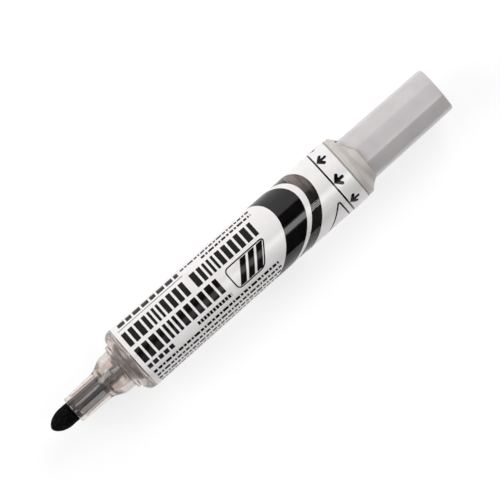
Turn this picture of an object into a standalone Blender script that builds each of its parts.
"""Pump-action whiteboard marker, lying on its side with its cap off.

The long axis runs along X with the nib at -X and the press button at +X, and +Z is up.
The origin is on the resting plane, under the middle of the marker's box.
Every turned piece is a profile of (x along the axis, radius) points, listed down its outer side
from the button end to the nib end and then back up its bore.
"""

import math

import bmesh
import bpy
from mathutils import Matrix

OBJECT_NAME = "whiteboard_marker"

# Driving dimensions, in metres.
TIP_X = -0.0628
BUTTON_END_X = 0.06276
LABEL_FRONT_X = -0.0361
LABEL_REAR_X = 0.0324
LABEL_FRONT_RADIUS = 0.0090
LABEL_REAR_RADIUS = 0.0088
LABEL_THICKNESS = 0.0001
LABEL_GAP = 0.00004
BARREL_FRONT_X = -0.0391
BARREL_REAR_X = 0.0332
BARREL_BORE_RADIUS = 0.00775
BARREL_MOUTH_RADIUS = 0.0058
NIB_RADIUS = 0.00265
NECK_RADIUS = 0.0055
NECK_BORE_RADIUS = 0.0038
SKIRT_RADIUS = 0.0057
SKIRT_BORE_RADIUS = 0.0043
COLLAR_RADIUS = 0.0086
COLLAR_REAR_X = 0.0377
COLLAR_BORE_RADIUS = 0.00695
CYLINDER_RADIUS = 0.0047
CYLINDER_BORE_RADIUS = 0.0039
ROD_RADIUS = 0.0016
BUTTON_SIDES = 9
BUTTON_BASE_RADIUS = 0.0067
BUTTON_REAR_RADIUS = 0.00635
BUTTON_FRONT_X = 0.0305

# Fits between neighbouring pieces.
RUNNING_GAP = 0.0003
CLOSE_GAP = 0.0001

# Facets round a turned piece.
OUTER_SIDES = 40
INNER_SIDES = 28
SMALL_SIDES = 20

SHARP_ANGLE = math.radians(35)
AXIS_HEIGHT = LABEL_FRONT_RADIUS * math.cos(math.pi / OUTER_SIDES)


def clear_scene():
    for item in list(bpy.data.objects):
        bpy.data.objects.remove(item, do_unlink=True)


def new_collection(name):
    group = bpy.data.collections.new(name)
    bpy.context.scene.collection.children.link(group)
    return group


def new_material(name, colour, roughness, metallic=0.0, alpha=1.0):
    material = bpy.data.materials.new(name)
    material.use_nodes = True
    shader = material.node_tree.nodes["Principled BSDF"]
    shader.inputs["Base Color"].default_value = (*colour, 1.0)
    shader.inputs["Roughness"].default_value = roughness
    shader.inputs["Metallic"].default_value = metallic
    shader.inputs["Alpha"].default_value = alpha
    return material


def axis_matrix(sides):
    """Local Z goes along the marker's axis, and one facet faces straight down."""
    lift = Matrix.Translation((0.0, 0.0, AXIS_HEIGHT))
    lay_down = Matrix.Rotation(math.radians(90), 4, "Y")
    facet_down = Matrix.Rotation(math.pi / sides, 4, "Z")
    return lift @ lay_down @ facet_down


def place(item, group, material, matrix):
    group.objects.link(item)
    item.matrix_world = matrix
    if material is not None:
        item.data.materials.append(material)


def bake(item):
    """Replace an object's mesh with its evaluated one, with hard edges kept sharp."""
    bpy.context.view_layer.update()
    evaluated = item.evaluated_get(bpy.context.evaluated_depsgraph_get())
    mesh = bpy.data.meshes.new_from_object(evaluated)
    mesh.name = item.name
    item.modifiers.clear()
    item.data = mesh
    mesh.shade_smooth()
    mesh.set_sharp_from_angle(angle=SHARP_ANGLE)


def turned(name, profile, material, sides=INNER_SIDES, closed=True, group=None):
    """A profile of (x, radius) points turned about the marker's axis."""
    mesh = bpy.data.meshes.new(name)
    last = len(profile)
    edges = [(i, i + 1) for i in range(last - 1)]
    if closed:
        edges.append((last - 1, 0))
    mesh.from_pydata([(radius, 0.0, x) for x, radius in profile], edges, [])
    item = bpy.data.objects.new(name, mesh)
    place(item, group or parts, material, axis_matrix(sides))
    screw = item.modifiers.new("turn", "SCREW")
    screw.axis = "Z"
    screw.angle = math.tau
    screw.steps = sides
    screw.render_steps = sides
    screw.use_merge_vertices = True
    screw.merge_threshold = 0.000001
    bake(item)
    return item


def cut(item, cutter):
    cutter.hide_render = True
    cutter.display_type = "WIRE"
    boolean = item.modifiers.new("cut_" + cutter.name, "BOOLEAN")
    boolean.operation = "DIFFERENCE"
    boolean.solver = "EXACT"
    boolean.object = cutter


def arc(centre_x, centre_r, radius, start_deg, end_deg, steps):
    """Points on an arc in the profile's plane; 0 degrees is towards +X and 90 outwards."""
    points = []
    for i in range(steps + 1):
        angle = math.radians(start_deg + (end_deg - start_deg) * i / steps)
        points.append((centre_x + radius * math.cos(angle), centre_r + radius * math.sin(angle)))
    return points


def s_curve(start, end, steps):
    """Profile points that leave and arrive along the axis, without the first one."""
    points = []
    for i in range(1, steps + 1):
        t = i / steps
        blend = t * t * (3.0 - 2.0 * t)
        points.append((start[0] + (end[0] - start[0]) * t, start[1] + (end[1] - start[1]) * blend))
    return points


def ring_section(centre_x, centre_r, radius, steps):
    """A round section for an O-ring, listed down its outer side first."""
    return arc(centre_x, centre_r, radius, 0, 360 * (steps - 1) / steps, steps - 1)


def label_radius(x):
    t = (x - LABEL_FRONT_X) / (LABEL_REAR_X - LABEL_FRONT_X)
    return LABEL_FRONT_RADIUS + (LABEL_REAR_RADIUS - LABEL_FRONT_RADIUS) * t


def barrel_radius(x):
    return label_radius(x) - LABEL_THICKNESS - LABEL_GAP


# --- writing end -----------------------------------------------------------------------------


def make_nib():
    """Bullet nib of black fibre, with a chamfered rear end inside the holder."""
    ogive_length = 0.0046
    ogive_power = 0.6
    rear_x = -0.0457
    chamfer = 0.0004
    ogive_steps = 8
    front_x = TIP_X + ogive_length
    profile = [(rear_x, 0.0), (rear_x, NIB_RADIUS - chamfer), (rear_x - chamfer, NIB_RADIUS)]
    for i in range(ogive_steps):
        t = i / ogive_steps
        profile.append((front_x - ogive_length * t, NIB_RADIUS * (1.0 - t * t) ** ogive_power))
    profile.append((TIP_X, 0.0))
    return turned("nib", profile, BLACK_FIBRE, closed=False)


def make_nib_holder():
    """Clear nose: grip ring, flared tube, neck for the cap, flange and the skirt in the barrel."""
    front_x = -0.0558
    ring_rear_x = -0.0539
    flare_start = (-0.0470, 0.0039)
    flare_end = (-0.0422, NECK_RADIUS)
    flange_front_x = -0.04005
    flange_rear_x = -0.0392
    flange_radius = 0.0064
    flange_chamfer = 0.0002
    skirt_end_x = -0.0315
    ring_radius = 0.00355
    rounding = 0.0003
    tube_bore_radius = 0.0031
    tube_bore_end_x = -0.0466
    neck_bore_start_x = -0.0452
    skirt_bore_start_x = -0.0400
    flare = s_curve(flare_end, flare_start, 5)
    profile = [
        (skirt_end_x, SKIRT_RADIUS - rounding),
        (skirt_end_x - rounding, SKIRT_RADIUS),
        (flange_rear_x, SKIRT_RADIUS),
        (flange_rear_x, flange_radius),
        (flange_front_x + flange_chamfer, flange_radius),
        (flange_front_x, flange_radius - flange_chamfer),
        (flange_front_x, NECK_RADIUS),
        flare_end,
        *flare,
        (ring_rear_x, ring_radius + CLOSE_GAP),
        (ring_rear_x - CLOSE_GAP, ring_radius),
        (front_x + rounding, ring_radius),
        (front_x, ring_radius - rounding),
        (front_x, NIB_RADIUS + CLOSE_GAP),
        (ring_rear_x, NIB_RADIUS + CLOSE_GAP),
        (ring_rear_x, tube_bore_radius),
        (tube_bore_end_x, tube_bore_radius),
        (neck_bore_start_x, NECK_BORE_RADIUS),
        (skirt_bore_start_x, NECK_BORE_RADIUS),
        (skirt_bore_start_x, SKIRT_BORE_RADIUS),
        (skirt_end_x, SKIRT_BORE_RADIUS),
    ]
    return turned("nib_holder", profile, CLEAR_PLASTIC, OUTER_SIDES)


def make_nib_stop():
    """Ring behind the nib that stops it being pushed in, round the feed snout."""
    front_x = -0.0455
    rear_x = -0.0446
    chamfer = 0.0002
    bore_radius = 0.0014
    outer_radius = NECK_BORE_RADIUS - CLOSE_GAP
    profile = [
        (rear_x, outer_radius),
        (front_x + 3 * chamfer, outer_radius),
        (front_x, outer_radius - 3 * chamfer),
        (front_x, bore_radius),
        (rear_x, bore_radius),
    ]
    return turned("nib_stop_ring", profile, CLEAR_PLASTIC)


def make_feed_wick():
    """Fibre rod that carries ink from the valve to the back of the nib."""
    front_x = -0.0454
    rear_x = -0.0402
    radius = 0.0010
    chamfer = 0.0002
    profile = [
        (rear_x, 0.0),
        (rear_x, radius - chamfer),
        (rear_x - chamfer, radius),
        (front_x + chamfer, radius),
        (front_x, radius - chamfer),
        (front_x, 0.0),
    ]
    return turned("feed_wick", profile, BLACK_FIBRE, SMALL_SIDES, closed=False)


def make_valve_body():
    """Clear valve housing: a snout round the wick and a chamber for the poppet and its spring."""
    snout_front_x = -0.0441
    snout_rear_x = -0.0412
    snout_radius = 0.0018
    snout_bore_radius = 0.00115
    chamber_front_x = -0.0402
    chamber_rear_x = -0.0302
    chamber_radius = 0.0030
    shoulder_x = -0.0396
    neck_part_radius = NECK_BORE_RADIUS - CLOSE_GAP
    skirt_part_radius = SKIRT_BORE_RADIUS - CLOSE_GAP
    profile = [
        (chamber_rear_x, skirt_part_radius),
        (shoulder_x, skirt_part_radius),
        (shoulder_x, neck_part_radius),
        (snout_rear_x, neck_part_radius),
        (snout_rear_x, snout_radius),
        (snout_front_x, snout_radius),
        (snout_front_x, snout_bore_radius),
        (chamber_front_x, snout_bore_radius),
        (chamber_front_x, chamber_radius),
        (chamber_rear_x, chamber_radius),
    ]
    return turned("valve_body", profile, CLEAR_PLASTIC)


def make_valve_poppet():
    """Mushroom poppet: a guide stem towards the nib and a cone that closes against the seat."""
    stem_front_x = -0.0388
    head_front_x = -0.0352
    head_rear_x = -0.0346
    cone_end_x = -0.0334
    stem_radius = 0.0008
    head_radius = 0.0023
    cone_end_radius = 0.0009
    profile = [
        (cone_end_x, 0.0),
        (cone_end_x, cone_end_radius),
        (head_rear_x, head_radius),
        (head_front_x, head_radius),
        (head_front_x, stem_radius),
        (stem_front_x, stem_radius),
        (stem_front_x, 0.0),
    ]
    return turned("valve_poppet", profile, WHITE_PLASTIC, SMALL_SIDES, closed=False)


def make_valve_seat():
    """Rubber seat ring behind the poppet, with a conical mouth that the cone meets."""
    front_x = -0.0343
    rear_x = -0.0328
    mouth_depth = 0.0006
    mouth_radius = 0.0021
    bore_radius = 0.0014
    outer_radius = 0.0030 - CLOSE_GAP
    profile = [
        (rear_x, outer_radius),
        (front_x, outer_radius),
        (front_x, mouth_radius),
        (front_x + mouth_depth, bore_radius),
        (rear_x, bore_radius),
    ]
    return turned("valve_seat", profile, BLACK_RUBBER, SMALL_SIDES)


def make_valve_retainer():
    """Snap plug behind the seat, open in the middle for the ink."""
    front_x = -0.0327
    rim_front_x = -0.0301
    rear_x = -0.0294
    outer_radius = 0.0030 - CLOSE_GAP
    rim_radius = 0.0040
    bore_radius = 0.0017
    profile = [
        (rear_x, rim_radius),
        (rim_front_x, rim_radius),
        (rim_front_x, outer_radius),
        (front_x, outer_radius),
        (front_x, bore_radius),
        (rear_x, bore_radius),
    ]
    return turned("valve_retainer", profile, WHITE_PLASTIC, SMALL_SIDES)


def make_nose_seal():
    """O-ring between the holder's skirt and the inside of the barrel's front wall."""
    section_radius = 0.00045
    centre_radius = SKIRT_RADIUS + CLOSE_GAP + section_radius
    profile = ring_section(-0.0363, centre_radius, section_radius, 8)
    return turned("nose_seal_ring", profile, BLACK_RUBBER)


# --- barrel ----------------------------------------------------------------------------------


def make_barrel():
    """Clear ink barrel with a rounded front shoulder and an open rear end."""
    shoulder_radius = 0.0025
    wall_front_x = -0.0369
    bore_corner = 0.0009
    inner_front_x = wall_front_x + bore_corner
    shoulder_x = BARREL_FRONT_X + shoulder_radius
    shoulder_centre_r = barrel_radius(shoulder_x) - shoulder_radius
    profile = [
        (BARREL_REAR_X, barrel_radius(BARREL_REAR_X)),
        *arc(shoulder_x, shoulder_centre_r, shoulder_radius, 90, 180, 5),
        (BARREL_FRONT_X, BARREL_MOUTH_RADIUS),
        (wall_front_x, BARREL_MOUTH_RADIUS),
        (wall_front_x, BARREL_BORE_RADIUS - bore_corner),
        (inner_front_x, BARREL_BORE_RADIUS),
        (BARREL_REAR_X, BARREL_BORE_RADIUS),
    ]
    return turned("barrel", profile, CLEAR_PLASTIC, OUTER_SIDES)


def make_label():
    """Printed film wrapped round the barrel."""
    profile = [
        (LABEL_REAR_X, LABEL_REAR_RADIUS),
        (LABEL_FRONT_X, LABEL_FRONT_RADIUS),
        (LABEL_FRONT_X, LABEL_FRONT_RADIUS - LABEL_THICKNESS),
        (LABEL_REAR_X, LABEL_REAR_RADIUS - LABEL_THICKNESS),
    ]
    return turned("label", profile, WHITE_FILM, OUTER_SIDES)


# --- pump end --------------------------------------------------------------------------------


def relief_cutter(name, roll_deg, start_x, start_radius, slope_deg):
    """A block whose slanted face takes one side off the collar's cone, behind start_x."""
    bpy.ops.mesh.primitive_cube_add(size=1.0)
    block = bpy.context.active_object
    block.name = name
    for owner in list(block.users_collection):
        owner.objects.unlink(block)
    length, width, depth = 0.030, 0.030, 0.020
    scale = Matrix.Diagonal((length, width, depth, 1.0))
    stand = Matrix.Translation((0.0, 0.0, depth / 2))
    slope = Matrix.Rotation(math.radians(slope_deg), 4, "Y")
    pivot = Matrix.Translation((start_x, 0.0, start_radius))
    roll = Matrix.Rotation(math.radians(roll_deg), 4, "X")
    lift = Matrix.Translation((0.0, 0.0, AXIS_HEIGHT))
    block.data.transform(lift @ roll @ pivot @ slope @ stand @ scale)
    cutters.objects.link(block)
    return block


def make_rear_plug():
    """Collar and its long sleeve in the barrel, with two slanted reliefs on the collar's cone."""
    sleeve_front_x = 0.0203
    sleeve_radius = 0.0076
    step_x = 0.0232
    step_bore_radius = CYLINDER_RADIUS + CLOSE_GAP
    groove_front_x = 0.0217
    groove_rear_x = 0.0227
    groove_radius = 0.0069
    collar_front_x = BARREL_REAR_X + 0.0002
    cone_front_x = 0.03465
    lip_front_x = 0.0360
    lip_radius = 0.0073
    lead_in = 0.0003
    profile = [
        (COLLAR_REAR_X, lip_radius),
        (lip_front_x, lip_radius),
        (cone_front_x, COLLAR_RADIUS),
        (collar_front_x, COLLAR_RADIUS),
        (collar_front_x, sleeve_radius),
        (groove_rear_x, sleeve_radius),
        (groove_rear_x, groove_radius),
        (groove_front_x, groove_radius),
        (groove_front_x, sleeve_radius),
        (sleeve_front_x + lead_in, sleeve_radius),
        (sleeve_front_x, sleeve_radius - lead_in),
        (sleeve_front_x, step_bore_radius),
        (step_x, step_bore_radius),
        (step_x, COLLAR_BORE_RADIUS),
        (COLLAR_REAR_X, COLLAR_BORE_RADIUS),
    ]
    plug = turned("rear_plug", profile, WHITE_PLASTIC, OUTER_SIDES)
    cut(plug, relief_cutter("relief_near", -75, 0.0343, 0.0083, 54))
    cut(plug, relief_cutter("relief_far", 105, 0.0346, 0.0083, 50))
    return plug


def make_plug_seal():
    """O-ring in the sleeve's groove, against the barrel's bore."""
    return turned("plug_seal_ring", ring_section(0.0222, 0.00735, 0.0003, 8), BLACK_RUBBER)


def make_lock_ring():
    """Ring pressed into the sleeve behind the cylinder's flange; the pressed button stops on it."""
    front_x = 0.0243
    rear_x = 0.0251
    outer_radius = COLLAR_BORE_RADIUS - CLOSE_GAP
    bore_radius = CYLINDER_RADIUS + RUNNING_GAP
    profile = [
        (rear_x, outer_radius),
        (front_x, outer_radius),
        (front_x, bore_radius),
        (rear_x, bore_radius),
    ]
    return turned("cylinder_lock_ring", profile, WHITE_PLASTIC)


def make_pump_cylinder():
    """Pump tube held in the sleeve's step by its flange, with an outlet in its front wall."""
    front_x = 0.0165
    nose_radius = 0.0029
    nose_rear_x = 0.0176
    wall_rear_x = 0.0186
    outlet_radius = 0.0011
    flange_front_x = 0.0233
    flange_rear_x = 0.0242
    flange_radius = 0.0066
    rear_x = 0.0324
    profile = [
        (rear_x, CYLINDER_RADIUS),
        (flange_rear_x, CYLINDER_RADIUS),
        (flange_rear_x, flange_radius),
        (flange_front_x, flange_radius),
        (flange_front_x, CYLINDER_RADIUS),
        (nose_rear_x, CYLINDER_RADIUS),
        (nose_rear_x, nose_radius),
        (front_x, nose_radius),
        (front_x, outlet_radius),
        (wall_rear_x, outlet_radius),
        (wall_rear_x, CYLINDER_BORE_RADIUS),
        (rear_x, CYLINDER_BORE_RADIUS),
    ]
    return turned("pump_cylinder", profile, WHITE_PLASTIC)


def make_duckbill_valve():
    """Rubber one-way valve: a round flange whose bore narrows to a flat slit towards the ink."""
    flange_rear_x = 0.0164
    flange_front_x = 0.0157
    flange_radius = 0.0026
    body_radius = 0.0017
    bore_radius = 0.0011
    bill_start_x = 0.0150
    bill_end_x = 0.0120
    bill_thinness = 0.18
    profile = [
        (flange_rear_x, flange_radius),
        (flange_front_x, flange_radius),
        (flange_front_x, body_radius),
        (bill_start_x, body_radius),
        (bill_end_x, body_radius),
        (bill_end_x, bore_radius),
        (bill_start_x, bore_radius),
        (flange_rear_x, bore_radius),
    ]
    valve = turned("duckbill_valve", profile, BLACK_RUBBER, SMALL_SIDES)
    for vertex in valve.data.vertices:
        along = (bill_start_x - vertex.co.z) / (bill_start_x - bill_end_x)
        if along > 0.5:
            vertex.co.x *= bill_thinness
    return valve


def make_duckbill_cage():
    """Snap cap that holds the duckbill on the cylinder's nose, open towards the ink."""
    front_x = 0.0148
    wall_rear_x = 0.0155
    rear_x = 0.0175
    mouth_radius = 0.0020
    bore_radius = 0.0030
    outer_radius = 0.0037
    profile = [
        (rear_x, outer_radius),
        (front_x, outer_radius),
        (front_x, mouth_radius),
        (wall_rear_x, mouth_radius),
        (wall_rear_x, bore_radius),
        (rear_x, bore_radius),
    ]
    return turned("duckbill_cage", profile, WHITE_PLASTIC, SMALL_SIDES)


def make_piston_rod():
    """Rod with the piston head in front and a barbed end that snaps into the button."""
    head_front_x = 0.0262
    groove_front_x = 0.0268
    groove_rear_x = 0.0290
    head_rear_x = 0.0298
    rear_x = 0.0586
    head_radius = CYLINDER_BORE_RADIUS - RUNNING_GAP
    groove_radius = 0.0024
    barb_radius = ROD_RADIUS + CLOSE_GAP
    barb_front_x = 0.0574
    profile = [
        (rear_x, 0.0),
        (rear_x, ROD_RADIUS - CLOSE_GAP),
        (barb_front_x, barb_radius),
        (barb_front_x, ROD_RADIUS),
        (head_rear_x, ROD_RADIUS),
        (head_rear_x, head_radius),
        (groove_rear_x, head_radius),
        (groove_rear_x, groove_radius),
        (groove_front_x, groove_radius),
        (groove_front_x, head_radius - RUNNING_GAP),
        (head_front_x, head_radius - RUNNING_GAP),
        (head_front_x, 0.0),
    ]
    return turned("piston_rod", profile, WHITE_PLASTIC, SMALL_SIDES, closed=False)


def make_piston_cup():
    """Rubber cup seal: its lip opens forwards, so it pumps one way and lets air in the other."""
    front_x = 0.0270
    rear_x = 0.0288
    base_front_x = 0.0282
    hub_radius = 0.0025
    lip_radius = CYLINDER_BORE_RADIUS - 0.00004
    base_radius = CYLINDER_BORE_RADIUS - RUNNING_GAP
    lip_thickness = 0.00035
    hub_thickness = 0.0004
    profile = [
        (rear_x, base_radius),
        (front_x, lip_radius),
        (front_x, lip_radius - lip_thickness),
        (base_front_x, base_radius - lip_thickness),
        (base_front_x, hub_radius + hub_thickness),
        (front_x, hub_radius + hub_thickness),
        (front_x, hub_radius),
        (rear_x, hub_radius),
    ]
    return turned("piston_cup_seal", profile, BLACK_RUBBER)


def make_rod_guide():
    """Snap bush in the cylinder's open end: it guides the rod and stops the piston coming out."""
    front_x = 0.0301
    lip_front_x = 0.0325
    rear_x = 0.0332
    outer_radius = CYLINDER_BORE_RADIUS - CLOSE_GAP
    bore_radius = ROD_RADIUS + 2 * CLOSE_GAP
    profile = [
        (rear_x, CYLINDER_RADIUS),
        (lip_front_x, CYLINDER_RADIUS),
        (lip_front_x, outer_radius),
        (front_x, outer_radius),
        (front_x, bore_radius),
        (rear_x, bore_radius),
    ]
    return turned("rod_guide_bush", profile, WHITE_PLASTIC)


def coil(name, start_x, end_x, mean_radius, wire_radius, turns, material):
    """Compression spring whose first and last turns lie flat."""
    points_per_turn = 10
    count = int(turns * points_per_turn)
    flat = 1.0 / turns
    flat_rise = 2.2 * wire_radius
    length = end_x - start_x - 2 * wire_radius
    curve = bpy.data.curves.new(name, "CURVE")
    curve.dimensions = "3D"
    curve.bevel_depth = wire_radius
    curve.bevel_resolution = 2
    curve.use_fill_caps = True
    spline = curve.splines.new("POLY")
    spline.points.add(count)
    for i in range(count + 1):
        t = i / count
        if t < flat:
            along = flat_rise * t / flat
        elif t > 1.0 - flat:
            along = length - flat_rise * (1.0 - t) / flat
        else:
            along = flat_rise + (length - 2 * flat_rise) * (t - flat) / (1.0 - 2 * flat)
        angle = math.tau * turns * t
        spline.points[i].co = (
            start_x + wire_radius + along,
            mean_radius * math.cos(angle),
            mean_radius * math.sin(angle),
            1.0,
        )
    item = bpy.data.objects.new(name, curve)
    place(item, parts, material, Matrix.Translation((0.0, 0.0, AXIS_HEIGHT)))
    return item


def make_button():
    """Nine-sided press button, hollow from the front, with a socket for the rod."""
    corner_round = 0.0004
    edge_round = 0.0003
    hollow_radius = 0.0052
    hollow_end_x = 0.0612
    boss_radius = 0.0031
    boss_front_x = 0.0495
    socket_radius = ROD_RADIUS + 2 * CLOSE_GAP
    socket_end_x = 0.0589
    mouth_x = BUTTON_FRONT_X - 0.001
    length = BUTTON_END_X - BUTTON_FRONT_X
    mesh = bpy.data.meshes.new("button")
    build = bmesh.new()
    bmesh.ops.create_cone(
        build,
        cap_ends=True,
        segments=BUTTON_SIDES,
        radius1=BUTTON_BASE_RADIUS,
        radius2=BUTTON_REAR_RADIUS,
        depth=length,
    )
    bmesh.ops.translate(build, verts=build.verts, vec=(0.0, 0.0, BUTTON_FRONT_X + length / 2))
    side_edges = [
        edge
        for edge in build.edges
        if abs(edge.verts[0].co.z - edge.verts[1].co.z) > length / 2
    ]
    bmesh.ops.bevel(build, geom=side_edges, offset=edge_round, segments=2, profile=0.5, affect="EDGES")
    rear_edges = [
        edge
        for edge in build.edges
        if all(vertex.co.z > BUTTON_END_X - edge_round for vertex in edge.verts)
    ]
    bmesh.ops.bevel(build, geom=rear_edges, offset=corner_round, segments=3, profile=0.5, affect="EDGES")
    build.to_mesh(mesh)
    build.free()
    button = bpy.data.objects.new("button", mesh)
    first_corner = math.pi / 2
    facet_up = Matrix.Rotation(math.pi - first_corner - 2.5 * math.tau / BUTTON_SIDES, 4, "Z")
    lay_down = Matrix.Rotation(math.radians(90), 4, "Y")
    lift = Matrix.Translation((0.0, 0.0, AXIS_HEIGHT))
    place(button, parts, GREY_PLASTIC, lift @ lay_down @ facet_up)
    hollow = [
        (socket_end_x, 0.0),
        (socket_end_x, socket_radius),
        (boss_front_x, socket_radius),
        (boss_front_x, boss_radius),
        (hollow_end_x, boss_radius),
        (hollow_end_x, hollow_radius),
        (mouth_x, hollow_radius),
        (mouth_x, 0.0),
    ]
    cutter = turned("button_hollow", hollow, None, INNER_SIDES, closed=False, group=cutters)
    cut(button, cutter)
    return button


clear_scene()
parts = new_collection(OBJECT_NAME)
cutters = new_collection(OBJECT_NAME + "_cutters")

CLEAR_PLASTIC = new_material("clear_plastic", (0.82, 0.79, 0.75), 0.15, alpha=0.45)
WHITE_PLASTIC = new_material("white_plastic", (0.72, 0.71, 0.69), 0.35)
GREY_PLASTIC = new_material("grey_plastic", (0.62, 0.61, 0.62), 0.32)
WHITE_FILM = new_material("white_film", (0.80, 0.79, 0.80), 0.30)
BLACK_FIBRE = new_material("black_fibre", (0.012, 0.011, 0.012), 0.85)
BLACK_RUBBER = new_material("black_rubber", (0.020, 0.020, 0.020), 0.60)
SPRING_STEEL = new_material("spring_steel", (0.60, 0.60, 0.58), 0.30, metallic=1.0)

make_nib()
make_nib_holder()
make_nib_stop()
make_feed_wick()
make_valve_body()
make_valve_poppet()
coil("valve_spring", -0.0400, -0.0353, 0.0017, 0.00018, 5, SPRING_STEEL)
make_valve_seat()
make_valve_retainer()
make_nose_seal()
make_barrel()
make_label()
make_rear_plug()
make_plug_seal()
make_pump_cylinder()
make_lock_ring()
make_duckbill_valve()
make_duckbill_cage()
make_piston_rod()
make_piston_cup()
make_rod_guide()
coil("return_spring", 0.0334, 0.0493, 0.00245, 0.00025, 9, SPRING_STEEL)
make_button()
